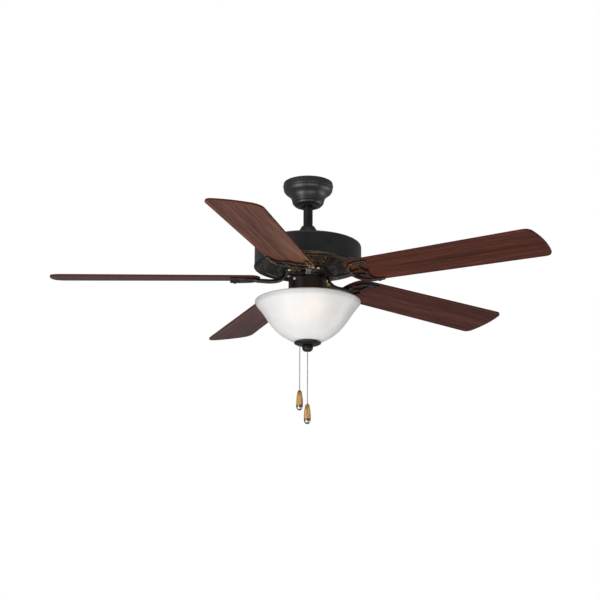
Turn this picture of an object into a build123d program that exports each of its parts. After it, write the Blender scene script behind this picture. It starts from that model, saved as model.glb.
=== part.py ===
from build123d import *
from math import cos, radians, sin
import os

# Five-blade ceiling fan with a glass bowl light.
# Millimetres, +Z up. The origin is the centre of the hanger bracket's top face, on the ceiling
# plane, and everything hangs below it on the Z axis.

os.makedirs("parts", exist_ok=True)

# ---------------------------------------------------------------- driving dimensions

SWEEP_RADIUS = 660.4            # 52 in fan: axis to blade tip
BLADE_COUNT = 5
FIRST_BLADE = 39.0              # azimuth of blade 1, degrees
BLADE_ANGLES = [FIRST_BLADE + 360 / BLADE_COUNT * n for n in range(BLADE_COUNT)]

CANOPY_TOP = -0.4
CANOPY_BOTTOM = -66.0
BALL_Z = -36.0                  # hanger ball centre, the pivot of the whole fan
BALL_RADIUS = 24.0
BALL_SEAT_RADIUS = 24.3
ROD_RADIUS = 12.3
ROD_TOP = -24.0
ROD_BOTTOM = -140.0
PIN_RADIUS = 3.0
HANGER_PIN_Z = -29.0
CLEVIS_PIN_Z = -134.0

HOUSING_RADIUS = 138.5
HOUSING_TOP = -155.0
HOUSING_BOTTOM = -227.0
SHEET = 1.2                     # wall of the stamped covers

SCREW_SHANK = 2.0               # M4 machine screws hold the covers, motor and irons
SCREW_HOLE = 2.1
PAN_HEAD = 3.8

SHAFT_RADIUS = 7.5
SHAFT_BORE = 4.2
SHAFT_BOTTOM = -272.0

BEARING_CENTRES = (-172.5, -231.5)
BEARING_HALF = 5.5
BEARING_OUTER = 17.5
BEARING_PITCH = 12.5
BALL_BEARING_RADIUS = 2.95
RACE_GROOVE = 3.05
SEAT_RADIUS = 17.55
BALLS_PER_BEARING = 8

ROTOR_FOOT_Z = -241.0           # flat under the rotor that the blade irons bolt to
IRON_SCREW_CIRCLE = 55.0
IRON_SCREW_ANGLE = 28.5

BLADE_Z = -264.7                # blade underside on its centre line, BLADE_REFERENCE out
BLADE_REFERENCE = 160.0
BLADE_PITCH = 11.0              # degrees
BLADE_SLOPE = -0.016            # rise per mm outwards: the blades droop a little
BLADE_THICKNESS = 5.2
BLADE_ROOT = 123.0
IRON_DEPTH = 6.5                # thickness of the iron's ring under the blade

SWITCH_RADIUS = 50.0
SWITCH_TOP = -262.0
SWITCH_SEAM = -267.0
SWITCH_BOTTOM = -306.0
SWITCH_SCREW_Z = -270.5
SWITCH_SCREW_ANGLES = (227.0, 347.0, 107.0)
REVERSE_ANGLE = 226.0
REVERSE_TOP = -279.2            # slider centre at rest
REVERSE_TRAVEL = 6.0

FAN_CHAIN = (-19.8, 11.0)       # the fan chain's vertical line
CHAIN_RADIUS = 1.6
FAN_CHAIN_TOP = -290.0
FAN_FOB_TOP = -553.0
LIGHT_CHAIN_TOP = -292.0
LIGHT_FOB_TOP = -590.0
FOB_LENGTH = 51.5
FOB_WOOD = 38.0

LAMP_ANGLES = (278.0, 98.0)
LAMP_Z = -341.0
BOWL_ROD_RADIUS = 5.0
BOWL_ROD_TOP = -301.0
BOWL_ROD_BOTTOM = -447.0
GLASS = 3.0
GLASS_HOLE = 26.0
PLATE_TOP = -430.1


# ---------------------------------------------------------------- shared shapes

def face(*points):
    """Closed face through (radius, height) points in the XZ plane."""
    with BuildSketch(Plane.XZ) as outline:
        with BuildLine():
            Polyline(*points, close=True)
        make_face()
    return outline.sketch


def inner_side(points, wall):
    """The same run of profile points, moved inwards by the wall thickness."""
    moved = []
    for index, point in enumerate(points):
        before = points[max(index - 1, 0)]
        after = points[min(index + 1, len(points) - 1)]
        tangent = (Vector(*after) - Vector(*before)).normalized()
        moved.append((point[0] + wall * tangent.Y, point[1] - wall * tangent.X))
    return moved


def shell_face(points, wall):
    """Face of a thin curved shell: a smooth outer profile and its inner side."""
    inside = inner_side(points, wall)
    with BuildSketch(Plane.XZ) as outline:
        with BuildLine():
            Spline(*points)
            Line(points[-1], inside[-1])
            Spline(*reversed(inside))
            Line(inside[0], points[0])
        make_face()
    return outline.sketch


def radial(azimuth, height=0.0):
    """Upright plane through the fan axis: local x runs outwards, local y up."""
    outward = Vector(cos(radians(azimuth)), sin(radians(azimuth)), 0)
    return Plane(origin=(0, 0, height), x_dir=outward, z_dir=outward.cross(Vector(0, 0, 1)))


def facing(azimuth, distance, height):
    """Plane at a distance from the axis, facing outwards: local x is level, local y up."""
    outward = Vector(cos(radians(azimuth)), sin(radians(azimuth)), 0)
    level = Vector(0, 0, 1).cross(outward)
    return Plane(origin=outward * distance + Vector(0, 0, height), x_dir=level, z_dir=outward)


def blade_plane(azimuth):
    """Underside of a blade: local x runs out along it, local y towards its lower edge."""
    turn = radians(azimuth)
    pitch = radians(BLADE_PITCH)
    along = Vector(cos(turn), sin(turn), BLADE_SLOPE).normalized()
    across = Vector(-sin(turn) * cos(pitch), cos(turn) * cos(pitch), -sin(pitch))
    height = BLADE_Z - BLADE_SLOPE * BLADE_REFERENCE
    return Plane(origin=(0, 0, height), x_dir=along, z_dir=along.cross(across))


def iron_screw_places(azimuth):
    """The two rotor screws of the blade iron at this azimuth."""
    return PolarLocations(
        IRON_SCREW_CIRCLE, 2, start_angle=azimuth - IRON_SCREW_ANGLE,
        angular_range=2 * IRON_SCREW_ANGLE, endpoint=True,
    )


def save(piece, name):
    """Label a finished piece and write its STEP file."""
    piece.part.label = name
    export_step(piece.part, f"parts/{name}.step")


# ---------------------------------------------------------------- ceiling mount

BRACKET_SHEET = 2.0
BRACKET_LENGTH = 100.0
BRACKET_WIDTH = 32.0
TAB_WIDTH = 16.0
TAB_DROP = 15.0
WIRE_HOLE = 11.0
LEG_OUTER = 31.0
RING_TOP = BALL_Z - 1.0
RING_BOTTOM = BALL_Z - 16.0
TAB_X = 60.0
CANOPY_SCREW_Z = -9.0
MOUNT_SLOT_X = 40.0
MOUNT_SLOT_LENGTH = 16.0
MOUNT_SLOT_WIDTH = 5.6

with BuildPart() as hanger_bracket:
    with BuildSketch(Plane.XY.offset(-BRACKET_SHEET)):
        Rectangle(BRACKET_LENGTH, BRACKET_WIDTH)
        Rectangle(2 * TAB_X, TAB_WIDTH)
        Circle(WIRE_HOLE, mode=Mode.SUBTRACT)
        with Locations((-MOUNT_SLOT_X, 0), (MOUNT_SLOT_X, 0)):
            SlotOverall(MOUNT_SLOT_LENGTH, MOUNT_SLOT_WIDTH, mode=Mode.SUBTRACT)
    extrude(amount=BRACKET_SHEET)
    with BuildSketch(Plane.XY.offset(RING_TOP - BRACKET_SHEET)):
        with Locations((LEG_OUTER - 1, 0), (1 - LEG_OUTER, 0)):
            Rectangle(BRACKET_SHEET, 28)
    extrude(amount=-RING_TOP)
    with BuildSketch(Plane.XY.offset(-TAB_DROP)):
        with Locations((TAB_X - 1, 0), (1 - TAB_X, 0)):
            Rectangle(BRACKET_SHEET, TAB_WIDTH)
    extrude(amount=TAB_DROP - BRACKET_SHEET)
    with BuildSketch(Plane.XY.offset(RING_TOP - BRACKET_SHEET)):
        Circle(LEG_OUTER)
        Circle(BALL_SEAT_RADIUS - 0.5, mode=Mode.SUBTRACT)
    extrude(amount=BRACKET_SHEET)
    with BuildSketch(Plane.XY.offset(RING_BOTTOM)):
        Circle(BALL_SEAT_RADIUS + 2.2)
    extrude(amount=RING_TOP - RING_BOTTOM)
    with Locations((0, 0, BALL_Z)):
        Sphere(BALL_SEAT_RADIUS, mode=Mode.SUBTRACT)
    with BuildSketch(Plane.XY.offset(RING_BOTTOM - 1)):
        Circle(18.5)
    extrude(amount=3, mode=Mode.SUBTRACT)
    with BuildSketch(Plane.XY.offset(RING_BOTTOM - 1)):
        with Locations((0, 20)):
            Rectangle(27, 40)
    extrude(amount=RING_TOP - RING_BOTTOM + 1.5, mode=Mode.SUBTRACT)
    with Locations((0, -BALL_SEAT_RADIUS + 0.3, BALL_Z - 5)):
        Box(4, 4, 6)
    for side in (-1, 1):
        with Locations(Plane.YZ.offset(side * (TAB_X - 1))):
            with Locations((0, CANOPY_SCREW_Z)):
                Hole(2.1, depth=3)
save(hanger_bracket, "hanger_bracket")

CANOPY_RADIUS = 64.8
CANOPY_BAND = [
    (62.8, CANOPY_TOP), (64.2, -1.2), (CANOPY_RADIUS, -2.8), (CANOPY_RADIUS, -15.9), (64.2, -17.0),
    (62.9, -17.0), (63.5, -15.6), (63.5, -3.2), (63.1, -2.0), (61.9, -1.5),
]
CANOPY_BELL = [
    (64.1, -16.6), (63.4, -21.8), (60.0, -26.8), (53.5, -32.0), (48.0, -37.0), (44.3, -43.0),
    (42.0, -50.0), (40.6, -55.0),
]
CANOPY_FOOT = [(39.2, -56.6), (36.6, -61.0), (31.6, -64.2), (26.0, -65.6), (20.0, CANOPY_BOTTOM)]

with BuildPart() as canopy:
    revolve(face(*CANOPY_BAND), axis=Axis.Z)
    revolve(shell_face(CANOPY_BELL, SHEET), axis=Axis.Z)
    revolve(shell_face(CANOPY_FOOT, SHEET), axis=Axis.Z)
    revolve(face((41.0, -54.6), (41.0, -55.6), (39.3, -57.0), (37.6, -57.0), (38.4, -54.6)), axis=Axis.Z)
    for side in (-1, 1):
        with Locations(Plane.YZ.offset(side * CANOPY_RADIUS)):
            with Locations((0, CANOPY_SCREW_Z)):
                Hole(2.3, depth=4)
save(canopy, "canopy")

with BuildPart() as canopy_screws:
    for azimuth in (0, 180):
        with BuildSketch(facing(azimuth, 56.0, CANOPY_SCREW_Z)):
            Circle(1.95)
        extrude(amount=9.2)
        with BuildSketch(facing(azimuth, CANOPY_RADIUS + 0.05, CANOPY_SCREW_Z)):
            Circle(3.2)
        extrude(amount=0.9, taper=20)
save(canopy_screws, "canopy_screws")

# ---------------------------------------------------------------- hanger ball and downrod

with BuildPart() as hanger_ball:
    with Locations((0, 0, BALL_Z)):
        Sphere(BALL_RADIUS)
        with Locations((0, 0, 15 + BALL_RADIUS), (0, 0, -19 - BALL_RADIUS)):
            Box(60, 60, 2 * BALL_RADIUS, mode=Mode.SUBTRACT)
    with Locations((0, 0, BALL_Z)):
        Cylinder(ROD_RADIUS + 0.05, 60, mode=Mode.SUBTRACT)
    with Locations((0, -BALL_RADIUS, BALL_Z)):
        Box(5.2, 8, 60, mode=Mode.SUBTRACT)
    with Locations((0, 0, HANGER_PIN_Z)):
        Cylinder(PIN_RADIUS + 0.05, 60, rotation=(0, 90, 0), mode=Mode.SUBTRACT)
save(hanger_ball, "hanger_ball")

with BuildPart() as downrod:
    with BuildSketch(Plane.XY.offset(ROD_BOTTOM)):
        Circle(ROD_RADIUS)
        Circle(ROD_RADIUS - 2.3, mode=Mode.SUBTRACT)
    extrude(amount=ROD_TOP - ROD_BOTTOM)
    with Locations((0, 0, HANGER_PIN_Z), (0, 0, CLEVIS_PIN_Z)):
        Cylinder(PIN_RADIUS + 0.05, 40, rotation=(0, 90, 0), mode=Mode.SUBTRACT)
save(downrod, "downrod")

with BuildPart() as downrod_pins:
    with Locations((0, 0, HANGER_PIN_Z), (0, 0, CLEVIS_PIN_Z)):
        Cylinder(PIN_RADIUS, 39, rotation=(0, 90, 0))
save(downrod_pins, "downrod_pins")

# ---------------------------------------------------------------- yoke, coupling cover and shaft

YOKE_COLLAR = 17.0
YOKE_FLANGE = 33.0
YOKE_TOP = -127.0
YOKE_FLOOR = -150.0
YOKE_BOTTOM = -162.0
FLANGE_SCREW_CIRCLE = 26.0
SET_SCREW_Z = -143.0

with BuildPart() as motor_yoke:
    revolve(
        face(
            (ROD_RADIUS + 0.1, YOKE_TOP), (YOKE_COLLAR, YOKE_TOP), (YOKE_COLLAR, -151.0),
            (YOKE_FLANGE, -151.0), (YOKE_FLANGE, HOUSING_TOP + 0.1), (17.6, HOUSING_TOP + 0.1),
            (17.6, YOKE_BOTTOM), (SHAFT_RADIUS + 0.05, YOKE_BOTTOM),
            (SHAFT_RADIUS + 0.05, YOKE_FLOOR), (ROD_RADIUS + 0.1, YOKE_FLOOR + 6),
        ),
        axis=Axis.Z,
    )
    with Locations((0, 0, CLEVIS_PIN_Z)):
        Cylinder(PIN_RADIUS + 0.05, 60, rotation=(0, 90, 0), mode=Mode.SUBTRACT)
    with Locations((0, 0, SET_SCREW_Z)):
        Cylinder(2.55, 60, rotation=(90, 0, 0), mode=Mode.SUBTRACT)
    with BuildSketch(Plane.XY.offset(YOKE_FLOOR)):
        with PolarLocations(FLANGE_SCREW_CIRCLE, 4, start_angle=45):
            Circle(SCREW_HOLE)
    extrude(amount=-8, mode=Mode.SUBTRACT)
save(motor_yoke, "motor_yoke")

with BuildPart() as yoke_set_screws:
    for azimuth in (90, 270):
        with BuildSketch(facing(azimuth, ROD_RADIUS + 0.05, SET_SCREW_Z)):
            Circle(2.5)
        extrude(amount=7)
        with BuildSketch(facing(azimuth, YOKE_COLLAR + 0.2, SET_SCREW_Z)):
            RegularPolygon(4.2, 6)
        extrude(amount=3.2)
save(yoke_set_screws, "yoke_set_screws")

COUPLING_BELL = [
    (15.4, -119.4), (17.2, -120.8), (19.4, -124.2), (22.4, -129.5), (26.6, -137.0), (33.0, -146.0),
    (39.5, -151.2), (46.5, HOUSING_TOP + 1.1),
]

with BuildPart() as coupling_cover:
    revolve(shell_face(COUPLING_BELL, 0.9), axis=Axis.Z)
    revolve(face((12.7, -119.0), (15.6, -119.4), (15.0, -120.5), (12.7, -120.2)), axis=Axis.Z)
save(coupling_cover, "coupling_cover")

with BuildPart() as motor_shaft:
    with BuildSketch(Plane.XY.offset(SHAFT_BOTTOM)):
        Circle(SHAFT_RADIUS)
        Circle(SHAFT_BORE, mode=Mode.SUBTRACT)
    extrude(amount=YOKE_FLOOR - 0.5 - SHAFT_BOTTOM)
save(motor_shaft, "motor_shaft")

# ---------------------------------------------------------------- motor housing

VENT_COUNT = 12
VENT_CIRCLE = 92.0
VENT_LENGTH = 34.0
VENT_WIDTH = 6.0
PAN_SCREW_CIRCLE = 127.0
PAN_SCREW_START = 20.0
PAN_EAR = [
    (122.0, -229.0), (122.0, -230.9), (135.8, -230.9), (135.8, -226.8), (137.6, -226.8),
    (137.6, -212.0), (135.8, -210.0), (134.2, -210.0), (134.2, -229.0),
]
LOUVRE_COUNT = 60
LOUVRE_INNER = 78.5
LOUVRE_OUTER = 108.0
LOUVRE_WIDTH = 4.4
LOUVRE_RAKE = -12.0


def housing_line(inset):
    """Outer or inner side of the motor cover: hub flat, sloping top, rounded edge, wall."""
    wall = HOUSING_RADIUS - inset
    top = HOUSING_TOP - inset
    return [(18.0, top), (48.0, top), (62.0, -160.2 - inset), (wall, -172.7 - inset), (wall, HOUSING_BOTTOM)]


with BuildPart() as upper_housing:
    with BuildSketch(Plane.XZ) as cover_wall:
        with BuildLine():
            FilletPolyline(*housing_line(0.0), radius=7)
            Line((HOUSING_RADIUS, HOUSING_BOTTOM), (HOUSING_RADIUS - SHEET, HOUSING_BOTTOM))
            FilletPolyline(*reversed(housing_line(SHEET)), radius=6.2)
            Line((18.0, HOUSING_TOP - SHEET), (18.0, HOUSING_TOP))
        make_face()
    revolve(axis=Axis.Z)
    with BuildSketch(Plane.XY.offset(HOUSING_TOP + 1)):
        with PolarLocations(FLANGE_SCREW_CIRCLE, 4, start_angle=45):
            Circle(2.3)
        with PolarLocations(VENT_CIRCLE, VENT_COUNT):
            SlotOverall(VENT_LENGTH, VENT_WIDTH)
    extrude(amount=-16, mode=Mode.SUBTRACT)
    for corner in range(4):
        azimuth = PAN_SCREW_START + 90 * corner
        with BuildSketch(radial(azimuth)):
            with BuildLine():
                Polyline(*PAN_EAR, close=True)
            make_face()
        extrude(amount=7, both=True)
    with BuildSketch(Plane.XY.offset(HOUSING_BOTTOM - 5)):
        with PolarLocations(PAN_SCREW_CIRCLE, 4, start_angle=PAN_SCREW_START):
            Circle(SCREW_SHANK)
    extrude(amount=4, mode=Mode.SUBTRACT)
save(upper_housing, "upper_housing")

with BuildPart() as lower_pan:
    revolve(
        face(
            (137.2, -217.0), (137.2, -227.1), (139.0, -227.1), (139.8, -228.4), (139.8, -230.2),
            (138.8, -231.6), (136.5, -232.2), (119.0, -232.2), (118.0, -230.4), (114.5, -230.4),
            (77.0, -240.2), (71.0, -241.4), (69.2, -240.8), (69.2, -237.0), (70.4, -237.0),
            (70.4, -240.1), (77.0, -238.9), (114.3, -229.2), (118.9, -229.2), (119.9, -231.0),
            (136.0, -231.0), (136.0, -217.0),
        ),
        axis=Axis.Z,
    )
    with BuildSketch(Plane.XY.offset(-244)):
        with PolarLocations((LOUVRE_INNER + LOUVRE_OUTER) / 2, LOUVRE_COUNT):
            SlotOverall(LOUVRE_OUTER - LOUVRE_INNER, LOUVRE_WIDTH, rotation=LOUVRE_RAKE)
    extrude(amount=16, mode=Mode.SUBTRACT)
    with BuildSketch(Plane.XY.offset(-233)):
        with PolarLocations(PAN_SCREW_CIRCLE, 4, start_angle=PAN_SCREW_START):
            Circle(2.3)
    extrude(amount=3, mode=Mode.SUBTRACT)
    with BuildSketch(Plane.XY.offset(-227.1)):
        with PolarLocations(HOUSING_RADIUS - SHEET, 4, start_angle=PAN_SCREW_START):
            Rectangle(5, 16)
    extrude(amount=11, mode=Mode.SUBTRACT)
save(lower_pan, "lower_pan")

with BuildPart() as housing_screws:
    with BuildSketch(Plane.XY.offset(-158)):
        with PolarLocations(FLANGE_SCREW_CIRCLE, 4, start_angle=45):
            Circle(SCREW_SHANK)
    extrude(amount=7.1)
    with BuildSketch(Plane.XY.offset(-150.9)):
        with PolarLocations(FLANGE_SCREW_CIRCLE, 4, start_angle=45):
            Circle(PAN_HEAD)
    extrude(amount=2.4)
    with BuildSketch(Plane.XY.offset(-232.3)):
        with PolarLocations(PAN_SCREW_CIRCLE, 4, start_angle=PAN_SCREW_START):
            Circle(1.9)
    extrude(amount=5.3)
    with BuildSketch(Plane.XY.offset(-234.2)):
        with PolarLocations(PAN_SCREW_CIRCLE, 4, start_angle=PAN_SCREW_START):
            Circle(3.6)
    extrude(amount=1.9)
save(housing_screws, "housing_screws")

# ---------------------------------------------------------------- motor: stator

STATOR_RADIUS = 60.0
STATOR_TOP = -192.0
STATOR_BOTTOM = -212.0
STATOR_SLOTS = 24

with BuildPart() as stator_core:
    with BuildSketch(Plane.XY.offset(STATOR_BOTTOM)):
        Circle(STATOR_RADIUS)
        Circle(SHAFT_RADIUS + 0.05, mode=Mode.SUBTRACT)
        with PolarLocations(46, STATOR_SLOTS):
            SlotOverall(20, 5, mode=Mode.SUBTRACT)
        with PolarLocations(57, STATOR_SLOTS):
            Rectangle(8, 1.6, mode=Mode.SUBTRACT)
    extrude(amount=STATOR_TOP - STATOR_BOTTOM)
save(stator_core, "stator_core")

with BuildPart() as stator_windings:
    for low, high in ((STATOR_TOP + 0.1, -182.5), (-221.5, STATOR_BOTTOM - 0.1)):
        with BuildSketch(Plane.XY.offset(low)):
            Circle(55)
            Circle(35, mode=Mode.SUBTRACT)
        extrude(amount=high - low)
    fillet(stator_windings.edges().group_by(Axis.Z)[-1] + stator_windings.edges().group_by(Axis.Z)[0], 4)
save(stator_windings, "stator_windings")

# ---------------------------------------------------------------- motor: bearings


def bearing_rings(inner, outer):
    """The same ring of both ball bearings, with its ball groove cut."""
    for centre in BEARING_CENTRES:
        with BuildSketch(Plane.XZ) as section:
            with Locations(((inner + outer) / 2, centre)):
                Rectangle(outer - inner, 2 * BEARING_HALF)
            with Locations((BEARING_PITCH, centre)):
                Circle(RACE_GROOVE, mode=Mode.SUBTRACT)
        yield section.sketch


with BuildPart() as bearing_inner_races:
    for section in bearing_rings(SHAFT_RADIUS + 0.02, 10.6):
        revolve(section, axis=Axis.Z)
save(bearing_inner_races, "bearing_inner_races")

with BuildPart() as bearing_outer_races:
    for section in bearing_rings(14.4, BEARING_OUTER):
        revolve(section, axis=Axis.Z)
save(bearing_outer_races, "bearing_outer_races")

with BuildPart() as bearing_balls:
    for centre in BEARING_CENTRES:
        with Locations(Plane.XY.offset(centre)):
            with PolarLocations(BEARING_PITCH, BALLS_PER_BEARING):
                Sphere(BALL_BEARING_RADIUS)
save(bearing_balls, "bearing_balls")

# ---------------------------------------------------------------- motor: rotor

ROTOR_WALL = 77.0
ROTOR_BORE = 74.05
ROTOR_SPLIT = -202.0
ROTOR_SCREW_CIRCLE = 69.5
ROTOR_SCREW_START = 30.0

with BuildPart() as rotor_upper_bell:
    revolve(
        face(
            (13.5, -165.0), (21.5, -165.0), (21.5, -175.0), (75.0, -178.0), (ROTOR_WALL, -180.0),
            (ROTOR_WALL, ROTOR_SPLIT + 0.1), (ROTOR_BORE, ROTOR_SPLIT + 0.1), (ROTOR_BORE, -181.0),
            (SEAT_RADIUS, -178.5), (SEAT_RADIUS, -166.8), (13.5, -166.8),
        ),
        axis=Axis.Z,
    )
    with BuildSketch(Plane.XY.offset(-174)):
        with PolarLocations(ROTOR_SCREW_CIRCLE, 4, start_angle=ROTOR_SCREW_START):
            Circle(SCREW_HOLE)
    extrude(amount=-8, mode=Mode.SUBTRACT)
save(rotor_upper_bell, "rotor_upper_bell")

with BuildPart() as rotor_lower_bell:
    revolve(
        face(
            (ROTOR_WALL, ROTOR_SPLIT - 0.1), (ROTOR_WALL, -226.8), (66.0, -233.0),
            (66.0, ROTOR_FOOT_Z), (44.0, ROTOR_FOOT_Z), (44.0, -232.0), (21.5, -232.0),
            (21.5, -239.0), (13.5, -239.0), (13.5, -237.2), (SEAT_RADIUS, -237.2),
            (SEAT_RADIUS, -225.5), (21.5, -225.5), (24.0, -229.0), (47.0, -229.0),
            (47.0, ROTOR_FOOT_Z + 4), (63.0, ROTOR_FOOT_Z + 4), (63.0, -231.2),
            (ROTOR_BORE, -224.9), (ROTOR_BORE, ROTOR_SPLIT - 0.1),
        ),
        axis=Axis.Z,
    )
    with BuildSketch(Plane.XY.offset(-224)):
        with PolarLocations(ROTOR_SCREW_CIRCLE, 4, start_angle=ROTOR_SCREW_START):
            Circle(SCREW_HOLE)
    extrude(amount=-12, mode=Mode.SUBTRACT)
    with BuildSketch(Plane.XY.offset(ROTOR_FOOT_Z - 1)):
        for azimuth in BLADE_ANGLES:
            with iron_screw_places(azimuth):
                Circle(SCREW_HOLE)
    extrude(amount=6, mode=Mode.SUBTRACT)
save(rotor_lower_bell, "rotor_lower_bell")

with BuildPart() as rotor_ring:
    with BuildSketch(Plane.XY.offset(-214)):
        Circle(ROTOR_BORE - 0.05)
        Circle(STATOR_RADIUS + 0.6, mode=Mode.SUBTRACT)
        with PolarLocations(ROTOR_SCREW_CIRCLE, 4, start_angle=ROTOR_SCREW_START):
            Circle(SCREW_HOLE, mode=Mode.SUBTRACT)
    extrude(amount=24)
save(rotor_ring, "rotor_ring")

with BuildPart() as rotor_screws:
    with BuildSketch(Plane.XY.offset(-233)):
        with PolarLocations(ROTOR_SCREW_CIRCLE, 4, start_angle=ROTOR_SCREW_START):
            Circle(SCREW_SHANK)
    extrude(amount=55.7)
    with BuildSketch(Plane.XY.offset(-177.3)):
        with PolarLocations(ROTOR_SCREW_CIRCLE, 4, start_angle=ROTOR_SCREW_START):
            Circle(3.6)
    extrude(amount=2.6)
save(rotor_screws, "rotor_screws")

# ---------------------------------------------------------------- blade irons

RING_CENTRE = 172.0             # where the iron's bow becomes two straight prongs
RING_REACH = 46.0               # bow depth, outside
RING_HALF = 55.0                # half the ring's width, outside
RING_BAND = 9.8
RING_ROUNDING = 3.0
PRONG_END = 200.5
ARM_HALF = 11.0
CROSSBAR_DEPTH = 5.0
CROSSBAR_WIDTH = 4.8
BOSS_RADIUS = 5.2
FOOT_OUTER = 64.5
FOOT_INNER = 46.0
FOOT_HALF_ANGLE = 34.0
FOOT_THICKNESS = 4.0
FOOT_BOTTOM = ROTOR_FOOT_Z - 0.1 - FOOT_THICKNESS
BLADE_SCREW_HEAD = 3.8
BLADE_SCREWS = ((188.0, -49.9, IRON_DEPTH), (188.0, 49.9, IRON_DEPTH), (177.5, 0.0, CROSSBAR_DEPTH))
ARM_INNER = [(58.0, -244.0), (59.2, -256.0), (65.5, -265.6), (78.0, -270.8), (100.0, -273.0), (133.0, -271.4)]
ARM_OUTER = [(133.0, -267.2), (100.0, -267.0), (84.0, -265.6), (72.5, -260.6), (66.0, -252.5), (64.0, -244.0)]


def ring_edge(inset, prong_end):
    """Half-ellipse bow with two straight prongs, moved inwards by the inset, as a closed outline."""
    half = RING_HALF - inset
    with BuildLine(mode=Mode.PRIVATE) as outline:
        bow = EllipticalCenterArc((RING_CENTRE, 0), RING_REACH - inset, half, 90, arc_size=180)
        Line(bow @ 0, (prong_end, half))
        Line((prong_end, half), (prong_end, -half))
        Line((prong_end, -half), bow @ 1)
    return outline.edges()


def make_iron(azimuth):
    """One blade iron: a curved foot under the rotor, an S-shaped arm, and the open ring."""
    underside = blade_plane(azimuth)
    with BuildPart() as iron:
        with BuildSketch(underside):
            make_face(ring_edge(0, PRONG_END))
            make_face(ring_edge(RING_BAND, PRONG_END + 5), mode=Mode.SUBTRACT)
        extrude(amount=-IRON_DEPTH)
        fillet(iron.faces().sort_by(Axis(underside.origin, underside.z_dir))[0].edges(), RING_ROUNDING)
        with BuildSketch(Plane.XY.rotated((0, 0, azimuth)).offset(FOOT_BOTTOM)):
            with BuildLine():
                outer = CenterArc((0, 0), FOOT_OUTER, -FOOT_HALF_ANGLE, 2 * FOOT_HALF_ANGLE)
                inner = CenterArc((0, 0), FOOT_INNER, -FOOT_HALF_ANGLE, 2 * FOOT_HALF_ANGLE)
                Line(outer @ 0, inner @ 0)
                Line(outer @ 1, inner @ 1)
            make_face()
            with iron_screw_places(0):
                Circle(2.6, mode=Mode.SUBTRACT)
        extrude(amount=FOOT_THICKNESS)
        with BuildSketch(radial(azimuth)):
            with BuildLine():
                Spline(*ARM_INNER)
                Line(ARM_INNER[-1], ARM_OUTER[0])
                Spline(*ARM_OUTER)
                Line(ARM_OUTER[-1], ARM_INNER[0])
            make_face()
        extrude(amount=ARM_HALF, both=True)
        with BuildSketch(underside):
            with BuildLine():
                for side in (-1, 1):
                    ThreePointArc((180, side * 47), (169.5, side * 24), (178.5, side * 1.0))
            trace(line_width=CROSSBAR_WIDTH)
            with BuildLine():
                for side in (-1, 1):
                    Line((134, side * 5), (171, side * 19))
            trace(line_width=CROSSBAR_WIDTH)
            with Locations((177.5, 0)):
                Circle(BOSS_RADIUS)
        extrude(amount=-CROSSBAR_DEPTH)
        with BuildSketch(underside.offset(1)):
            with Locations(*[(out, across) for out, across, depth in BLADE_SCREWS]):
                Circle(2.6)
        extrude(amount=-IRON_DEPTH - 3, mode=Mode.SUBTRACT)
    return iron


for number, azimuth in enumerate(BLADE_ANGLES, start=1):
    save(make_iron(azimuth), f"blade_iron_{number}")

with BuildPart() as iron_screws:
    for azimuth in BLADE_ANGLES:
        with BuildSketch(Plane.XY.offset(FOOT_BOTTOM)):
            with iron_screw_places(azimuth):
                Circle(4.0)
        extrude(amount=-2.5)
        with BuildSketch(Plane.XY.offset(FOOT_BOTTOM)):
            with iron_screw_places(azimuth):
                Circle(SCREW_SHANK)
        extrude(amount=8)
save(iron_screws, "iron_screws")

# ---------------------------------------------------------------- blades

ROOT_HALF = 57.6
TIP_HALF = 69.6
ROOT_CORNER_X = 142.0
TIP_CORNER_X = 649.5
ROOT_CORNER = 30.0
TIP_CORNER = 20.0


def make_blade(azimuth):
    """One blade: bowed root, straight flared edges and a bowed tip, with rounded arrises."""
    with BuildPart() as blade:
        with BuildSketch(blade_plane(azimuth)) as plan:
            with BuildLine():
                ThreePointArc((ROOT_CORNER_X, ROOT_HALF), (BLADE_ROOT, 0), (ROOT_CORNER_X, -ROOT_HALF))
                Line((ROOT_CORNER_X, -ROOT_HALF), (TIP_CORNER_X, -TIP_HALF))
                ThreePointArc((TIP_CORNER_X, -TIP_HALF), (SWEEP_RADIUS, 0), (TIP_CORNER_X, TIP_HALF))
                Line((TIP_CORNER_X, TIP_HALF), (ROOT_CORNER_X, ROOT_HALF))
            make_face()
            along = blade_plane(azimuth).x_dir
            fillet(plan.vertices().sort_by(Axis((0, 0, 0), along))[:2], ROOT_CORNER)
            fillet(plan.vertices().sort_by(Axis((0, 0, 0), along))[-2:], TIP_CORNER)
        extrude(amount=BLADE_THICKNESS)
        fillet(blade.edges(), 1.0)
        with BuildSketch(blade_plane(azimuth).offset(-1)):
            with Locations(*[(out, across) for out, across, depth in BLADE_SCREWS]):
                Circle(2.45)
        extrude(amount=BLADE_THICKNESS + 2, mode=Mode.SUBTRACT)
    return blade


for number, azimuth in enumerate(BLADE_ANGLES, start=1):
    save(make_blade(azimuth), f"blade_{number}")

with BuildPart() as blade_screws:
    for azimuth in BLADE_ANGLES:
        for out, across, depth in BLADE_SCREWS:
            with BuildSketch(blade_plane(azimuth).offset(-depth)):
                with Locations((out, across)):
                    Circle(BLADE_SCREW_HEAD)
            extrude(amount=-1.6)
            with BuildSketch(blade_plane(azimuth).offset(-depth)):
                with Locations((out, across)):
                    Circle(2.4)
            extrude(amount=depth + BLADE_THICKNESS)
save(blade_screws, "blade_screws")

# ---------------------------------------------------------------- switch housing

WIRE_PLACE = (30.0, -22.0)      # hole for the lamp wires
WIRE_HOLE_RADIUS = 5.0
BUSH_RADIUS = 3.9               # chain bushes of the pull switches
BUSH_BORE = 2.3
CAPACITOR_PLACE = (27.0, -4.0)
NUT_RADIUS = 13.0
NUT_HEIGHT = 5.0

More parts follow.
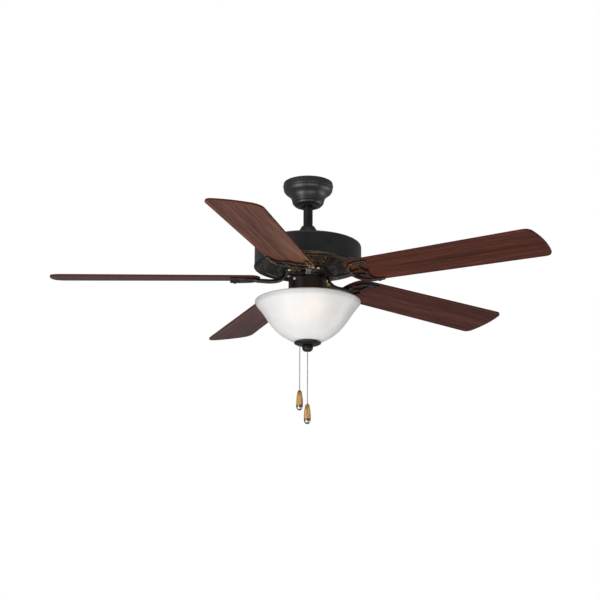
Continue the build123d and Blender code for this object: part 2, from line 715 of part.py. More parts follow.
with BuildPart() as switch_plate:
    with BuildSketch(Plane.XZ):
        with BuildLine():
            Line((SHAFT_RADIUS + 0.1, SWITCH_TOP), (45.5, SWITCH_TOP))
            RadiusArc((45.5, SWITCH_TOP), (SWITCH_RADIUS, SWITCH_TOP - 4.5), 4.5)
            Polyline(
                (SWITCH_RADIUS, SWITCH_TOP - 4.5), (SWITCH_RADIUS, SWITCH_SEAM), (48.6, SWITCH_SEAM),
                (48.6, -274.3), (47.4, -274.3), (47.4, SWITCH_TOP - SHEET),
                (SHAFT_RADIUS + 0.1, SWITCH_TOP - SHEET), (SHAFT_RADIUS + 0.1, SWITCH_TOP),
            )
        make_face()
    revolve(axis=Axis.Z)
    for azimuth in SWITCH_SCREW_ANGLES:
        with BuildSketch(facing(azimuth, 40, SWITCH_SCREW_Z)):
            Circle(SCREW_HOLE)
        extrude(amount=12, mode=Mode.SUBTRACT)
save(switch_plate, "switch_plate")

with BuildPart() as shaft_locknuts:
    for low in (SWITCH_TOP + 0.05, SWITCH_TOP - SHEET - 0.05 - NUT_HEIGHT):
        with BuildSketch(Plane.XY.offset(low)):
            RegularPolygon(NUT_RADIUS, 6)
            Circle(SHAFT_RADIUS + 0.02, mode=Mode.SUBTRACT)
        extrude(amount=NUT_HEIGHT)
save(shaft_locknuts, "shaft_locknuts")

with BuildPart() as switch_housing:
    with BuildSketch(Plane.XY.offset(SWITCH_BOTTOM)):
        Circle(SWITCH_RADIUS)
    extrude(amount=SWITCH_SEAM - 0.15 - SWITCH_BOTTOM)
    with BuildSketch(Plane.XY.offset(SWITCH_BOTTOM + SHEET)):
        Circle(SWITCH_RADIUS - SHEET - 0.1)
    extrude(amount=50, mode=Mode.SUBTRACT)
    with BuildSketch(Plane.XY.offset(SWITCH_BOTTOM - 1)):
        Circle(BOWL_ROD_RADIUS + 0.2)
        with Locations(FAN_CHAIN):
            Circle(BUSH_RADIUS + 0.2)
        with Locations(WIRE_PLACE):
            Circle(WIRE_HOLE_RADIUS)
    extrude(amount=4, mode=Mode.SUBTRACT)
    for azimuth in SWITCH_SCREW_ANGLES:
        with BuildSketch(facing(azimuth, 40, SWITCH_SCREW_Z)):
            Circle(SCREW_HOLE)
        extrude(amount=12, mode=Mode.SUBTRACT)
    with BuildSketch(facing(REVERSE_ANGLE, 40, REVERSE_TOP - REVERSE_TRAVEL / 2)):
        Rectangle(5, REVERSE_TRAVEL + 5.6)
    extrude(amount=12, mode=Mode.SUBTRACT)
save(switch_housing, "switch_housing")

with BuildPart() as switch_housing_screws:
    for azimuth in SWITCH_SCREW_ANGLES:
        with BuildSketch(facing(azimuth, 45.5, SWITCH_SCREW_Z)):
            Circle(1.95)
        extrude(amount=5)
        with BuildSketch(facing(azimuth, SWITCH_RADIUS + 0.05, SWITCH_SCREW_Z)):
            Circle(PAN_HEAD)
        extrude(amount=2.2, taper=25)
save(switch_housing_screws, "switch_housing_screws")

with BuildPart() as reverse_switch:
    with BuildSketch(facing(REVERSE_ANGLE, 35, REVERSE_TOP - REVERSE_TRAVEL / 2)):
        Rectangle(11, 15)
    extrude(amount=13.2)
    with BuildSketch(facing(REVERSE_ANGLE, 42, REVERSE_TOP - REVERSE_TRAVEL / 2)):
        Rectangle(7, REVERSE_TRAVEL + 7)
    extrude(amount=8, mode=Mode.SUBTRACT)
save(reverse_switch, "reverse_switch")

with BuildPart() as reverse_slider:
    with BuildSketch(facing(REVERSE_ANGLE, 42.4, REVERSE_TOP)):
        Rectangle(6, 6)
    extrude(amount=4.5)
    with BuildSketch(facing(REVERSE_ANGLE, 46.9, REVERSE_TOP)):
        Rectangle(3.6, 4.4)
    extrude(amount=5.6)
save(reverse_slider, "reverse_slider")

with BuildPart() as fan_switch:
    with BuildSketch(Plane.XY.offset(-297)):
        with Locations(FAN_CHAIN):
            Circle(12)
    extrude(amount=21)
    with BuildSketch(Plane.XY.offset(SWITCH_BOTTOM + 0.1)):
        with Locations(FAN_CHAIN):
            Circle(BUSH_RADIUS)
    extrude(amount=10)
    with BuildSketch(Plane.XY.offset(SWITCH_BOTTOM - 1)):
        with Locations(FAN_CHAIN):
            Circle(BUSH_BORE)
    extrude(amount=19, mode=Mode.SUBTRACT)
save(fan_switch, "fan_switch")

with BuildPart() as light_switch:
    with BuildSketch(Plane.XY.offset(-296)):
        Circle(9.5)
    extrude(amount=20)
    with BuildSketch(Plane.XY.offset(BOWL_ROD_TOP + 0.1)):
        Circle(BUSH_RADIUS)
    extrude(amount=6)
    with BuildSketch(Plane.XY.offset(BOWL_ROD_TOP)):
        Circle(BUSH_BORE)
    extrude(amount=13, mode=Mode.SUBTRACT)
save(light_switch, "light_switch")

with BuildPart() as run_capacitor:
    with BuildSketch(Plane.XY.offset(-300)):
        with Locations(CAPACITOR_PLACE):
            RectangleRounded(22, 34, 2)
    extrude(amount=28)
save(run_capacitor, "run_capacitor")

# ---------------------------------------------------------------- light kit

LAMP_INNER = 28.0
SOCKET_LENGTH = 30.0
LAMP_BASE = 6.0
BULB_NECK = 58.7
BULB_SIDE = [(BULB_NECK, 6.0), (62.0, 9.0), (68.0, 15.2), (77.0, 19.2), (88.0, 17.4), (95.0, 10.0)]
BULB_END = (97.4, 0.0)

with BuildPart() as light_fitter:
    revolve(
        face(
            (BOWL_ROD_RADIUS + 0.2, -306.1), (46.0, -306.1), (49.0, -309.0), (49.0, -313.0),
            (47.8, -313.0), (47.8, -309.5), (45.5, -307.3), (BOWL_ROD_RADIUS + 0.2, -307.3),
        ),
        axis=Axis.Z,
    )
    for azimuth in LAMP_ANGLES:
        with BuildSketch(Plane.XY.rotated((0, 0, azimuth)).offset(LAMP_Z - 9)):
            with Locations((LAMP_INNER - 1.1, 0)):
                Rectangle(2, 14)
        extrude(amount=-307 - (LAMP_Z - 9))
    with BuildSketch(Plane.XY.offset(-308)):
        with Locations(FAN_CHAIN):
            Circle(3)
        with Locations(WIRE_PLACE):
            Circle(WIRE_HOLE_RADIUS)
    extrude(amount=4, mode=Mode.SUBTRACT)
save(light_fitter, "light_fitter")

with BuildPart() as lamp_sockets:
    for azimuth in LAMP_ANGLES:
        with BuildSketch(facing(azimuth, LAMP_INNER, LAMP_Z)):
            Circle(10.5)
        extrude(amount=SOCKET_LENGTH)
        with BuildSketch(facing(azimuth, LAMP_INNER + 4, LAMP_Z)):
            Circle(LAMP_BASE + 0.3)
        extrude(amount=SOCKET_LENGTH, mode=Mode.SUBTRACT)
save(lamp_sockets, "lamp_sockets")

with BuildPart() as bulb_bases:
    for azimuth in LAMP_ANGLES:
        with BuildSketch(facing(azimuth, LAMP_INNER + 4.5, LAMP_Z)):
            Circle(LAMP_BASE)
        extrude(amount=BULB_NECK - LAMP_INNER - 4.6)
save(bulb_bases, "bulb_bases")

with BuildPart() as bulb_glasses:
    for azimuth in LAMP_ANGLES:
        lamp_plane = radial(azimuth, LAMP_Z)
        with BuildSketch(lamp_plane):
            with BuildLine():
                Line((BULB_NECK, 0), BULB_SIDE[0])
                Spline(*BULB_SIDE, BULB_END, tangents=((0.8, 0.6), (0, -1)))
                Line(BULB_END, (BULB_NECK, 0))
            make_face()
        revolve(axis=Axis(lamp_plane.origin, lamp_plane.x_dir))
save(bulb_glasses, "bulb_glasses")

with BuildPart() as bowl_rod:
    with BuildSketch(Plane.XY.offset(BOWL_ROD_BOTTOM)):
        Circle(BOWL_ROD_RADIUS)
        Circle(2.8, mode=Mode.SUBTRACT)
    extrude(amount=BOWL_ROD_TOP - BOWL_ROD_BOTTOM)
save(bowl_rod, "bowl_rod")

with BuildPart() as rod_nuts:
    for low in (-304.7, -311.4):
        with BuildSketch(Plane.XY.offset(low)):
            RegularPolygon(8.5, 6)
            Circle(BOWL_ROD_RADIUS + 0.02, mode=Mode.SUBTRACT)
        extrude(amount=4)
save(rod_nuts, "rod_nuts")

BOWL_PROFILE = [
    (135.2, -322.3), (136.0, -324.4), (134.8, -327.8), (131.4, -332.6), (125.8, -339.6),
    (118.8, -348.8), (111.4, -359.8), (103.6, -371.4), (95.0, -383.2), (85.4, -394.6),
    (75.4, -404.2), (64.4, -412.6), (51.4, -420.8), (39.0, -426.6), (32.0, -428.6),
    (GLASS_HOLE, -429.0),
]

with BuildPart() as glass_bowl:
    revolve(shell_face(BOWL_PROFILE, GLASS), axis=Axis.Z)
save(glass_bowl, "glass_bowl")

with BuildPart() as bowl_washer:
    with BuildSketch(Plane.XY.offset(-430.0)):
        Circle(31)
        Circle(GLASS_HOLE + 0.4, mode=Mode.SUBTRACT)
    extrude(amount=0.9)
save(bowl_washer, "bowl_washer")

with BuildPart() as finial_plate:
    revolve(
        face(
            (BOWL_ROD_RADIUS + 0.2, PLATE_TOP), (33.4, PLATE_TOP), (34.6, -430.6), (34.9, -431.7),
            (34.0, -433.6), (29.0, -436.2), (21.0, -438.2), (12.0, -439.0),
            (BOWL_ROD_RADIUS + 0.2, -439.0), (BOWL_ROD_RADIUS + 0.2, -437.4), (12.0, -437.4),
            (20.6, -436.6), (28.2, -434.8), (32.6, -432.6), (32.6, -431.7), (BOWL_ROD_RADIUS + 0.2, -431.7),
        ),
        axis=Axis.Z,
    )
    with BuildSketch(Plane.XY.offset(-441)):
        with Locations(FAN_CHAIN):
            Circle(2.7)
    extrude(amount=12, mode=Mode.SUBTRACT)
save(finial_plate, "finial_plate")

with BuildPart() as finial_knob:
    with BuildSketch(Plane.XZ):
        with BuildLine():
            Polyline((2.7, -453.7), (7.0, -453.7))
            Spline((7.0, -453.7), (10.6, -452.2), (12.8, -449.4), (14.0, -445.5), (14.0, -441.5))
            RadiusArc((14.0, -441.5), (11.8, -439.1), -2.4)
            Polyline(
                (11.8, -439.1), (BOWL_ROD_RADIUS + 0.05, -439.1), (BOWL_ROD_RADIUS + 0.05, -447.2),
                (2.7, -447.2), (2.7, -453.7),
            )
        make_face()
    revolve(axis=Axis.Z)
save(finial_knob, "finial_knob")

# ---------------------------------------------------------------- pull chains and fobs

FOB_SIDE = [(1.9, 0.0), (4.6, -1.6), (6.3, -8.0), (7.7, -16.0), (8.6, -25.0), (9.0, -33.0), (8.9, -FOB_WOOD)]
TIP_SIDE = [(8.9, -FOB_WOOD), (8.3, -43.6), (6.3, -48.4), (3.2, -51.0), (0.0, -FOB_LENGTH)]


def make_chain(place, top, bottom):
    """Plain round stand-in for a ball chain, from its switch down to its fob."""
    with BuildPart() as chain:
        with BuildSketch(Plane.XY.offset(bottom)):
            with Locations(place):
                Circle(CHAIN_RADIUS)
        extrude(amount=top - bottom)
    return chain


def make_fob(place, top):
    """Wooden teardrop fob, down to its metal tip."""
    hang = Plane(origin=(place[0], place[1], top), x_dir=(1, 0, 0), z_dir=(0, -1, 0))
    with BuildPart() as fob:
        with BuildSketch(hang):
            with BuildLine():
                Line((0, 0), FOB_SIDE[0])
                Spline(*FOB_SIDE)
                Line(FOB_SIDE[-1], (0, -FOB_WOOD))
                Line((0, -FOB_WOOD), (0, 0))
            make_face()
        revolve(axis=Axis(hang.origin, (0, 0, 1)))
    return fob


def make_fob_tip(place, top):
    """Polished metal tip that closes the fob's foot."""
    hang = Plane(origin=(place[0], place[1], top), x_dir=(1, 0, 0), z_dir=(0, -1, 0))
    with BuildPart() as tip:
        with BuildSketch(hang):
            with BuildLine():
                Spline(*TIP_SIDE, tangents=((0, -1), (-1, 0)))
                Line(TIP_SIDE[-1], (0, -FOB_WOOD))
                Line((0, -FOB_WOOD), TIP_SIDE[0])
            make_face()
        revolve(axis=Axis(hang.origin, (0, 0, 1)))
    return tip


PULLS = (
    ("fan", FAN_CHAIN, FAN_CHAIN_TOP, FAN_FOB_TOP),
    ("light", (0.0, 0.0), LIGHT_CHAIN_TOP, LIGHT_FOB_TOP),
)

for name, place, chain_top, fob_top in PULLS:
    save(make_chain(place, chain_top, fob_top), f"{name}_pull_chain")
    save(make_fob(place, fob_top), f"{name}_fob")
    save(make_fob_tip(place, fob_top), f"{name}_fob_tip")
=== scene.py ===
import math

import bmesh
import bpy
from mathutils import Matrix, Vector


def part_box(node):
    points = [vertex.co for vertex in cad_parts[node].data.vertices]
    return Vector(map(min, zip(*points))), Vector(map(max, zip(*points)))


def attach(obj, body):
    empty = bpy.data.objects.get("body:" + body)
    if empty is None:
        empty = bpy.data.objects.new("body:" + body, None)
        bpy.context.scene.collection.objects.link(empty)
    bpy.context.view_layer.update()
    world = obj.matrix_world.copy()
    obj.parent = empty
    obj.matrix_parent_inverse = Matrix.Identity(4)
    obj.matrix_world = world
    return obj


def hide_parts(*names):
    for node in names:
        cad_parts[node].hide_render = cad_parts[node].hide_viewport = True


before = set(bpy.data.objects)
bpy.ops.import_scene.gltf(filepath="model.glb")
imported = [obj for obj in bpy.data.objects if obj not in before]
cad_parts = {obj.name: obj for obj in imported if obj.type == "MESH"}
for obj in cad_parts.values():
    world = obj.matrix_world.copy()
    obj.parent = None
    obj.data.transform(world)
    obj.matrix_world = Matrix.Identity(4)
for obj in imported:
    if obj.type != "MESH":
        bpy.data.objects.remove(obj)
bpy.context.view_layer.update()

MM = 0.001

# ---------------------------------------------------------------- camera

# Place in metres, turns in radians, lens and sensor in millimetres.
CAMERA_PLACE = Vector((-10.24, -3586.4, -1297.0)) * MM
CAMERA_YAW = -0.0027
CAMERA_PITCH = 0.2665
CAMERA_ROLL = 0.0052
CAMERA_LENS = 86.63
SENSOR_WIDTH = 36
VIEW_DEPTH = 50


def make_camera():
    """Long lens, below the fan and looking up at it."""
    forward = Vector((
        math.sin(CAMERA_YAW) * math.cos(CAMERA_PITCH),
        math.cos(CAMERA_YAW) * math.cos(CAMERA_PITCH),
        math.sin(CAMERA_PITCH),
    ))
    level = Vector((math.cos(CAMERA_YAW), -math.sin(CAMERA_YAW), 0))
    up = level.cross(forward)
    side = math.cos(CAMERA_ROLL) * level + math.sin(CAMERA_ROLL) * up
    top = math.cos(CAMERA_ROLL) * up - math.sin(CAMERA_ROLL) * level
    data = bpy.data.cameras.new("camera")
    data.lens = CAMERA_LENS
    data.sensor_width = SENSOR_WIDTH
    data.clip_end = VIEW_DEPTH
    camera = bpy.data.objects.new("camera", data)
    turn = Matrix((side, top, -forward)).transposed().to_4x4()
    camera.matrix_world = Matrix.Translation(CAMERA_PLACE) @ turn
    bpy.context.scene.collection.objects.link(camera)
    bpy.context.scene.camera = camera


make_camera()

# ---------------------------------------------------------------- materials

# Sockets of the Mix node when it blends colours.
MIX_SHARE, MIX_FIRST, MIX_SECOND, MIX_COLOUR = 0, 6, 7, 2


class Surface:
    """A material being built: its Principled shader and short calls for the nodes that feed it."""

    def __init__(self, name, **values):
        self.material = bpy.data.materials.new(name)
        self.material.use_nodes = True
        self.tree = self.material.node_tree
        self.shader = self.tree.nodes["Principled BSDF"]
        for socket, value in values.items():
            self.shader.inputs[socket.replace("_", " ")].default_value = value

    def node(self, kind, inputs=None, **settings):
        """A new node; inputs maps its socket names or numbers to values or to other outputs."""
        made = self.tree.nodes.new(kind)
        for name, value in settings.items():
            setattr(made, name, value)
        for socket, value in (inputs or {}).items():
            if isinstance(value, bpy.types.NodeSocket):
                self.tree.links.new(value, made.inputs[socket])
            else:
                made.inputs[socket].default_value = value
        return made

    def feed(self, socket, output):
        """Link an output to a socket of the shader."""
        self.tree.links.new(output, self.shader.inputs[socket])

    def place(self, turn=0.0, scale=(1, 1, 1), offset=(0, 0, 0)):
        """Object coordinates turned about Z, then stretched and moved."""
        coords = self.node("ShaderNodeTexCoord").outputs["Object"]
        turned = self.node("ShaderNodeMapping", {"Vector": coords, "Rotation": (0, 0, turn)})
        made = self.node(
            "ShaderNodeMapping",
            {"Vector": turned.outputs[0], "Scale": scale, "Location": offset},
        )
        return made.outputs[0]

    def noise(self, vector, scale, detail=3.0, roughness=0.5, distortion=0.0):
        """Noise from 0 to 1, centred on 0.5."""
        made = self.node(
            "ShaderNodeTexNoise",
            {"Vector": vector, "Scale": scale, "Detail": detail, "Roughness": roughness,
             "Distortion": distortion},
        )
        return made.outputs["Fac"]

    def math(self, operation, first, second=0.0, third=0.0):
        made = self.node("ShaderNodeMath", {0: first, 1: second, 2: third}, operation=operation)
        return made.outputs[0]

    def span(self, value, low, high, to_low=0.0, to_high=1.0):
        """Map one range of a value to another, clamped."""
        made = self.node(
            "ShaderNodeMapRange",
            {"Value": value, "From Min": low, "From Max": high, "To Min": to_low, "To Max": to_high},
        )
        return made.outputs[0]

    def ramp(self, value, *stops):
        """Colour ramp through (position, colour) stops."""
        made = self.node("ShaderNodeValToRGB", {"Fac": value})
        elements = made.color_ramp.elements
        while len(elements) < len(stops):
            elements.new(0.5)
        for element, (position, colour) in zip(elements, stops):
            element.position = position
            element.color = (*colour, 1)
        return made.outputs["Color"]

    def mix(self, share, first, second):
        """Colour output first, turning to the plain colour second as the share grows."""
        inputs = {MIX_SHARE: share, MIX_FIRST: first, MIX_SECOND: (*second, 1)}
        made = self.node("ShaderNodeMix", inputs, data_type="RGBA")
        return made.outputs[MIX_COLOUR]

    def bump(self, height, distance, strength, edge=0.0):
        """Surface relief, over edges softened to a radius."""
        inputs = {"Height": height, "Distance": distance, "Strength": strength}
        if edge:
            softened = self.node("ShaderNodeBevel", {"Radius": edge}, samples=4)
            inputs["Normal"] = softened.outputs[0]
        self.feed("Normal", self.node("ShaderNodeBump", inputs).outputs[0])


# Most of a noise texture lies between these values.
NOISE_LOW = 0.3
NOISE_HIGH = 0.7

# Depth of the relief on sprayed or plated metal, and on wood and moulded parts.
FINE_RELIEF = 0.1 * MM
COARSE_RELIEF = 0.2 * MM


def bronze(name, dark, light, edge=0.0, roughness=(0.36, 0.44), specular=0.36):
    """Sprayed dark bronze: faint mottling, and fine grain in the lacquer."""
    made = Surface(name, Specular_IOR_Level=specular)
    place = made.place()
    mottle = made.noise(place, 38, detail=4)
    made.feed("Base Color", made.ramp(mottle, (0.35, dark), (0.7, light)))
    made.feed("Roughness", made.span(made.noise(place, 60), NOISE_LOW, NOISE_HIGH, *roughness))
    made.bump(made.noise(place, 900, detail=2), FINE_RELIEF, 0.08, edge)
    return made.material


def plated(name, colour, roughness=(0.22, 0.4), edge=0.4 * MM, metallic=1.0):
    """Plated or turned metal with slight tarnish and fine wear."""
    made = Surface(name, Metallic=metallic)
    place = made.place()
    dull = tuple(0.72 * part for part in colour)
    tarnish = made.noise(place, 210, detail=4)
    made.feed("Base Color", made.ramp(tarnish, (0.35, dull), (0.65, colour)))
    made.feed("Roughness", made.span(made.noise(place, 460), NOISE_LOW, NOISE_HIGH, *roughness))
    made.bump(made.noise(place, 2600, detail=2), FINE_RELIEF, 0.3, edge)
    return made.material


def moulded(name, colour, roughness=0.5, grain=900):
    """Moulded plastic, rubber or ceramic with a fine grain."""
    made = Surface(name)
    place = made.place()
    shade = tuple(0.8 * part for part in colour)
    made.feed("Base Color", made.ramp(made.noise(place, 70), (0.3, shade), (0.7, colour)))
    gloss = made.noise(place, 300)
    made.feed("Roughness", made.span(gloss, NOISE_LOW, NOISE_HIGH, roughness - 0.08, roughness + 0.08))
    made.bump(made.noise(place, grain, detail=2), COARSE_RELIEF, 0.3, 0.5 * MM)
    return made.material


# Reddish dark band along the edges of the blades.
BLADE_EDGE = (0.080, 0.021, 0.014)

# How tightly each pattern of the veneer is packed along the blade, across it and through it.
FIGURE_SCALE = (1.1, 24, 24)
STREAK_SCALE = (3.2, 230, 230)
PORE_SCALE = (20, 800, 800)
RINGS_PER_FIGURE = 17

# Step in the pattern from one blade to the next, so that no two blades have the same grain.
PATTERN_STEP = (7.3, 3.1, 1.7)


def blade_wood(name, azimuth, number, wood_and_light_tone):
    """Veneered blade: streaks and growth rings along it, fine dark pores, and a dark banded edge."""
    made = Surface(name, Specular_IOR_Level=0.12)
    turn = -math.radians(azimuth)
    shift = tuple(number * step for step in PATTERN_STEP)
    figure = made.noise(made.place(turn, FIGURE_SCALE, shift), 1.0, detail=2, distortion=0.3)
    streak = made.noise(made.place(turn, STREAK_SCALE, shift), 1.0, detail=4, roughness=0.65)
    pores = made.noise(made.place(turn, PORE_SCALE, shift), 1.0, detail=2)
    rings = made.math("PINGPONG", made.math("MULTIPLY", figure, RINGS_PER_FIGURE), 1.0)
    value = made.math("MULTIPLY_ADD", streak, 0.6, made.math("MULTIPLY", figure, 0.3))
    value = made.math("MULTIPLY_ADD", rings, 0.10, value)
    # The colour given here carries painted light and shade for this blade as well as the wood's own
    # colour.
    deep = (0.50 * wood_and_light_tone[0], 0.44 * wood_and_light_tone[1], 0.48 * wood_and_light_tone[2])
    pale = (1.75 * wood_and_light_tone[0], 1.95 * wood_and_light_tone[1], 1.9 * wood_and_light_tone[2])
    colour = made.ramp(value, (0.38, deep), (0.50, wood_and_light_tone), (0.63, pale))
    dark_pores = made.span(pores, 0.52, 0.68, 0.0, 0.6)
    colour = made.mix(dark_pores, colour, tuple(0.3 * part for part in deep))
    normal = made.node("ShaderNodeTexCoord").outputs["Normal"]
    parts = made.node("ShaderNodeSeparateXYZ", {"Vector": normal}).outputs
    upright = made.math("ABSOLUTE", parts["Z"])
    banding = made.span(upright, 0.5, 0.9, 1.0, 0.0)
    made.feed("Base Color", made.mix(banding, colour, BLADE_EDGE))
    made.feed("Roughness", made.span(streak, NOISE_LOW, NOISE_HIGH, 0.34, 0.5))
    made.bump(made.math("ADD", streak, pores), COARSE_RELIEF, 0.25)
    return made.material


# Where the painted shade on the bowl's rolled rim starts and where it is full, below the bowl's top: a
# grey that stands in for the darker surroundings the rim reflects.
RIM_SHADE_START = 14.2 * MM
RIM_SHADE_FULL = 8.2 * MM
# Share of the light on the glass that goes through it.
GLASS_THROUGH = 0.23


def lamp_glass():
    """Etched white glass, with painted shade (grey) on its rolled rim for the darker surroundings it
    reflects, a soft gloss and a little light through it.
    """
    made = Surface("etched_glass", Roughness=0.3, Specular_IOR_Level=0.45)
    place = made.place()
    cloud = made.noise(place, 16, detail=5, distortion=1.2)
    colour = made.ramp(cloud, (0.3, (0.76, 0.76, 0.77)), (0.7, (0.83, 0.83, 0.83)))
    height = made.node("ShaderNodeSeparateXYZ", {"Vector": place}).outputs["Z"]
    bowl_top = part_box("glass_bowl")[1].z
    # Painted shade: the rim is mixed towards grey, standing in for the darker surroundings it reflects.
    rim = made.span(height, bowl_top - RIM_SHADE_START, bowl_top - RIM_SHADE_FULL)
    made.feed("Base Color", made.mix(made.math("MULTIPLY", rim, 0.6), colour, (0.45, 0.46, 0.46)))
    through = made.node("ShaderNodeBsdfTranslucent", {"Color": (0.84, 0.82, 0.80, 1)})
    both = made.node(
        "ShaderNodeMixShader",
        {0: GLASS_THROUGH, 1: made.shader.outputs[0], 2: through.outputs[0]},
    )
    made.tree.links.new(both.outputs[0], made.tree.nodes["Material Output"].inputs["Surface"])
    return made.material


def bulb_glow():
    """Frosted bulb, lit."""
    made = Surface("bulb_glow", Roughness=0.4, Emission_Strength=10.0)
    made.shader.inputs["Base Color"].default_value = (0.95, 0.9, 0.8, 1)
    made.shader.inputs["Emission Color"].default_value = (1.0, 0.60, 0.22, 1)
    return made.material


def fob_oak():
    """Golden turned wood under clear lacquer."""
    made = Surface("fob_oak", Coat_Weight=0.5, Coat_Roughness=0.15)
    place = made.place(scale=(230, 230, 22))
    grain = made.noise(place, 1.0, detail=4, distortion=0.7)
    dark = (0.13, 0.05, 0.015)
    golden = (0.47, 0.25, 0.075)
    pale = (0.78, 0.52, 0.20)
    made.feed("Base Color", made.ramp(grain, (0.36, dark), (0.5, golden), (0.66, pale)))
    made.feed("Roughness", made.span(grain, NOISE_LOW, NOISE_HIGH, 0.45, 0.3))
    made.bump(grain, COARSE_RELIEF, 0.3)
    return made.material


MATERIALS = {
    "bronze": bronze("bronze", (0.010, 0.0095, 0.0096), (0.017, 0.0163, 0.0165), specular=0.45),
    "pan_bronze": bronze("pan_bronze", (0.006, 0.0055, 0.0056), (0.010, 0.009, 0.009),
                         roughness=(0.3, 0.36), specular=0.6),
    "finial_bronze": bronze("finial_bronze", (0.007, 0.005, 0.0046), (0.011, 0.008, 0.0075),
                            roughness=(0.3, 0.36), specular=0.25),
    "canopy_bronze": bronze("canopy_bronze", (0.011, 0.0105, 0.0105), (0.015, 0.0145, 0.0145),
                            roughness=(0.40, 0.42), specular=0.75),
    "cup_bronze": bronze("cup_bronze", (0.013, 0.009, 0.009), (0.020, 0.014, 0.014)),
    "iron_bronze": bronze("iron_bronze", (0.004, 0.0038, 0.004), (0.009, 0.0075, 0.0075),
                          edge=1.2 * MM, roughness=(0.24, 0.34), specular=0.4),
    "dark_screw": bronze("dark_screw", (0.010, 0.009, 0.009), (0.024, 0.020, 0.019),
                         roughness=(0.22, 0.32)),
    # Painted highlight: the zinc is made partly a white diffuse colour so that its parts show bright
    # like their glints.
    "zinc": plated("zinc", (0.96, 0.95, 0.92), (0.3, 0.45), metallic=0.3),
    # Painted highlight: the steel is made a near-white diffuse colour so that it shows bright like its
    # highlight.
    "shaft_steel": plated("shaft_steel", (0.96, 0.96, 0.97), (0.2, 0.3), metallic=0.0),
    "chain_steel": plated("chain_steel", (0.46, 0.46, 0.445), (0.34, 0.44)),
    # Painted reflection: the chrome is tinted dark brown to stand in for the dark surroundings it
    # reflects.
    "dark_reflection_chrome": plated("dark_reflection_chrome", (0.40, 0.34, 0.32), (0.08, 0.14), edge=1 * MM),
    "cast": moulded("cast", (0.05, 0.047, 0.046), 0.6, grain=500),
    "lamination": plated("lamination", (0.26, 0.26, 0.28), (0.4, 0.6)),
    "copper": plated("copper", (0.72, 0.30, 0.14), (0.3, 0.45)),
    "alloy": plated("alloy", (0.30, 0.29, 0.29), (0.4, 0.55)),
    "black_plastic": moulded("black_plastic", (0.018, 0.018, 0.018)),
    "ceramic": moulded("ceramic", (0.78, 0.75, 0.68), 0.3),
    "cap_brass": plated("cap_brass", (0.76, 0.58, 0.28)),
    "rubber": moulded("rubber", (0.015, 0.015, 0.015), 0.8),
    "etched_glass": lamp_glass(),
    "bulb_glow": bulb_glow(),
    "fob_oak": fob_oak(),
}

# The nodes that each material covers, but for the blades.
FINISHES = {
    "canopy_bronze": ["canopy"],
    "bronze": ["downrod", "coupling_cover", "upper_housing"],
    "pan_bronze": ["lower_pan", "switch_plate"],
    "finial_bronze": ["finial_plate", "finial_knob"],
    "cup_bronze": ["switch_housing"],
    "iron_bronze": [f"blade_iron_{number}" for number in range(1, 6)],
    "dark_screw": ["canopy_screws", "housing_screws", "blade_screws"],
    "zinc": ["hanger_bracket", "downrod_pins", "yoke_set_screws", "shaft_locknuts",
             "switch_housing_screws", "light_fitter", "bowl_rod", "rod_nuts", "rotor_screws",
             "iron_screws"],
    "shaft_steel": ["motor_shaft", "bearing_inner_races", "bearing_outer_races", "bearing_balls"],
    "dark_reflection_chrome": ["fan_fob_tip", "light_fob_tip"],
    "cast": ["motor_yoke", "rotor_ring"],
    "lamination": ["stator_core"],
    "copper": ["stator_windings"],
    "alloy": ["rotor_upper_bell", "rotor_lower_bell"],
    "black_plastic": ["fan_switch", "light_switch", "run_capacitor", "reverse_switch",
                      "reverse_slider", "hanger_ball"],
    "ceramic": ["lamp_sockets"],
    "cap_brass": ["bulb_bases"],
    "rubber": ["bowl_washer"],
    "etched_glass": ["glass_bowl"],
    "bulb_glow": ["bulb_glasses"],
    "fob_oak": ["fan_fob", "light_fob"],
}


def finish_node(node, material):
    """Give a CAD node its one material."""
    slots = bpy.data.objects[node].data.materials
    slots.clear()
    slots.append(material)


for finish, nodes in FINISHES.items():
    for node in nodes:
        finish_node(node, MATERIALS[finish])

FIRST_BLADE_AZIMUTH = 39
BLADE_SPACING = 72

# Mean colour of each blade's veneer, with painted light and shade: each blade is set lighter or darker
# for the light that falls on it.
BLADE_LIT_TONES = (
    (0.062, 0.0165, 0.0110),
    (0.082, 0.038, 0.035),
    (0.052, 0.0175, 0.0190),
    (0.100, 0.036, 0.023),
    (0.070, 0.0182, 0.0098),
)

for number, wood_and_light_tone in enumerate(BLADE_LIT_TONES, 1):
    azimuth = FIRST_BLADE_AZIMUTH + BLADE_SPACING * (number - 1)
    finish_node(f"blade_{number}", blade_wood(f"blade_wood_{number}", azimuth, number, wood_and_light_tone))

# ---------------------------------------------------------------- ball chains

# Standard 3.2 mm ball chain.
BEAD_RADIUS = 1.6 * MM
BEAD_PITCH = 3.5 * MM
WIRE_RADIUS = 0.8 * MM
# Each link reaches into the beads at its ends, so it is the pitch less this many bead radii.
LINK_GAP = 1.4


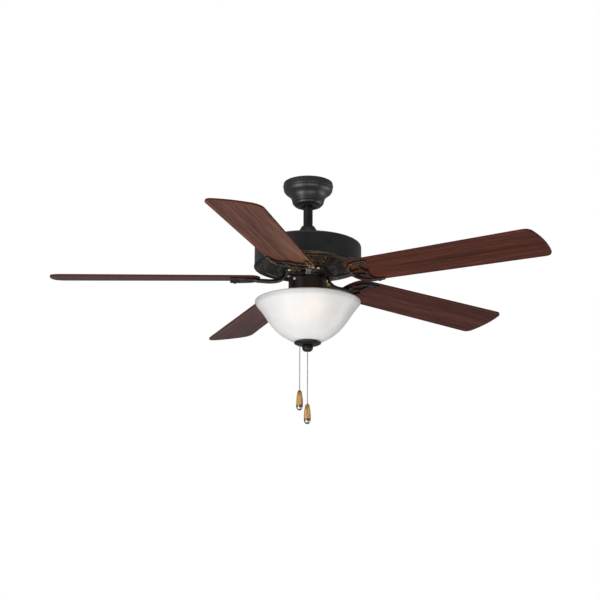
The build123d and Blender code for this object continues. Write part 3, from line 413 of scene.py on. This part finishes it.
def ball_chain(name, body, node):
    """Beads on short wire links, from inside the switch straight down to the fob."""
    low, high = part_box(node)
    x = (low[0] + high[0]) / 2
    y = (low[1] + high[1]) / 2
    top = high[2]
    bottom = low[2]
    first = top - BEAD_RADIUS
    count = round((top - bottom) / BEAD_PITCH)
    pitch = (top - bottom - 2 * BEAD_RADIUS) / (count - 1)
    mesh = bmesh.new()
    for number in range(count):
        bmesh.ops.create_uvsphere(
            mesh, u_segments=12, v_segments=8, radius=BEAD_RADIUS,
            matrix=Matrix.Translation((x, y, first - number * pitch)),
        )
    for number in range(count - 1):
        bmesh.ops.create_cone(
            mesh, cap_ends=True, segments=8, radius1=WIRE_RADIUS, radius2=WIRE_RADIUS,
            depth=pitch - LINK_GAP * BEAD_RADIUS,
            matrix=Matrix.Translation((x, y, first - (number + 0.5) * pitch)),
        )
    data = bpy.data.meshes.new(name)
    mesh.to_mesh(data)
    mesh.free()
    for polygon in data.polygons:
        polygon.use_smooth = True
    chain = bpy.data.objects.new(name, data)
    bpy.context.scene.collection.objects.link(chain)
    data.materials.append(MATERIALS["chain_steel"])
    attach(chain, body)
    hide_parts(node)


ball_chain("fan_ball_chain", "fan_pull", "fan_pull_chain")
ball_chain("light_ball_chain", "light_pull", "light_pull_chain")

# ---------------------------------------------------------------- studio

FLOOR_HEIGHT = -4.6
FLOOR_RADIUS = 90
# Strength of the floor's own glow to the camera, and of the surroundings' light on the fan.
FLOOR_GLOW = 0.62
WORLD_FILL = 0.28

LIGHT_TARGET = Vector((0, 0, -0.3))

# Place, width and height in metres, and power in watts, of each soft white panel.
LIGHTS = {
    "key": ((-1.9, -1.9, -0.9), (0.9, 2.8), 18),
    "front": ((0.3, -1.7, -2.1), (2.6, 1.8), 36),
    "below": ((-1.45, -1.1, -1.75), (1.4, 1.4), 27),
    "right": ((2.3, 0.8, -1.5), (1.7, 1.7), 21),
    "above": ((0.0, -0.9, 2.0), (2.0, 0.8), 11),
}


def area_light(name, place, size, power):
    """Rectangular panel that faces the fan."""
    data = bpy.data.lights.new(name, "AREA")
    data.shape = "RECTANGLE"
    data.size, data.size_y = size
    data.energy = power
    light = bpy.data.objects.new(name, data)
    light.location = place
    direction = LIGHT_TARGET - Vector(place)
    light.rotation_euler = direction.to_track_quat("-Z", "Y").to_euler()
    bpy.context.scene.collection.objects.link(light)


def make_floor():
    """Wide pale studio floor far below the fan, with a glow that only the camera sees."""
    data = bpy.data.meshes.new("studio_floor")
    mesh = bmesh.new()
    bmesh.ops.create_circle(
        mesh, cap_ends=True, segments=96, radius=FLOOR_RADIUS,
        matrix=Matrix.Translation((0, 0, FLOOR_HEIGHT)),
    )
    mesh.to_mesh(data)
    mesh.free()
    floor = bpy.data.objects.new("studio_floor", data)
    bpy.context.scene.collection.objects.link(floor)
    paint = Surface("studio_floor", Roughness=0.9)
    paint.shader.inputs["Base Color"].default_value = (0.86, 0.86, 0.86, 1)
    paint.shader.inputs["Emission Color"].default_value = (1, 1, 1, 1)
    seen = paint.node("ShaderNodeLightPath").outputs["Is Camera Ray"]
    paint.feed("Emission Strength", paint.span(seen, 0, 1, 0, FLOOR_GLOW))
    data.materials.append(paint.material)


def make_world():
    """White surroundings: full white behind the fan, and a softer fill on it."""
    world = bpy.data.worlds.new("studio")
    bpy.context.scene.world = world
    world.use_nodes = True
    nodes = world.node_tree.nodes
    links = world.node_tree.links
    background = nodes["Background"]
    background.inputs["Color"].default_value = (1, 1, 1, 1)
    seen = nodes.new("ShaderNodeLightPath")
    strength = nodes.new("ShaderNodeMapRange")
    strength.inputs["To Min"].default_value = WORLD_FILL
    strength.inputs["To Max"].default_value = 1.0
    links.new(seen.outputs["Is Camera Ray"], strength.inputs["Value"])
    links.new(strength.outputs[0], background.inputs["Strength"])


make_floor()
make_world()
bpy.context.scene.view_settings.view_transform = "Standard"
for name, (place, size, power) in LIGHTS.items():
    area_light(name, place, size, power)
